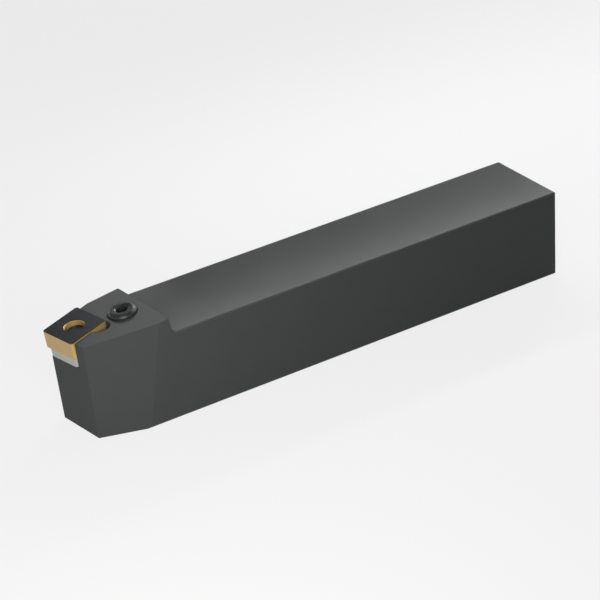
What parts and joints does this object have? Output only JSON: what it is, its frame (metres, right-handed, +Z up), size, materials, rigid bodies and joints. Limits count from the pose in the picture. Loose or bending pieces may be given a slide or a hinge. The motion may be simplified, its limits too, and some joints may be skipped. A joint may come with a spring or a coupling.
{
  "type": "turning tool holder",
  "caption": "Left-hand external turning tool: square steel shank with a lever-clamped rhombic carbide insert on a tilted seat at the head.",
  "frame": {"origin": "on the flat base of the shank, midway between the cutting corner and the back end and midway across the width", "axes": "+X from the cutting end to the shank's back end, +Y towards the side of the main cutting edge, +Z up, out of the base towards the insert's top face"},
  "size_m": [0.1499, 0.0251, 0.0294],
  "materials": {
    "holder_steel": "fine-ground steel, blackened, satin",
    "insert_coating": "gold-coloured titanium nitride on the flanks, near-black top face",
    "shim_metal": "bare ground metal, satin",
    "dark_steel": "hardened and blackened steel, slightly oily"
  },
  "bodies": {
    "body": {"holder": "holder_steel", "insert": "insert_coating", "shim": "shim_metal", "shim_sleeve": "dark_steel"},
    "screw": {"clamp_screw": "dark_steel"},
    "lever": {"lever": "dark_steel"}
  },
  "joints": [
    {"name": "screw_travel", "type": "slide", "parent": "body", "child": "screw", "axis": [-0.1273, 0.0735, 0.9891], "range_m": [0, 0.00028]},
    {"name": "lever_rock", "type": "hinge", "parent": "body", "child": "lever", "pos_m": [-0.06645, 0.00368, 0.01171], "axis": [-0.3487, -0.9369, 0.0247], "range_deg": [0, 1.81]}
  ],
  "couplings": [
    {"joint": "lever_rock", "follows": "screw_travel", "rad_per_m": 112.4}
  ]
}
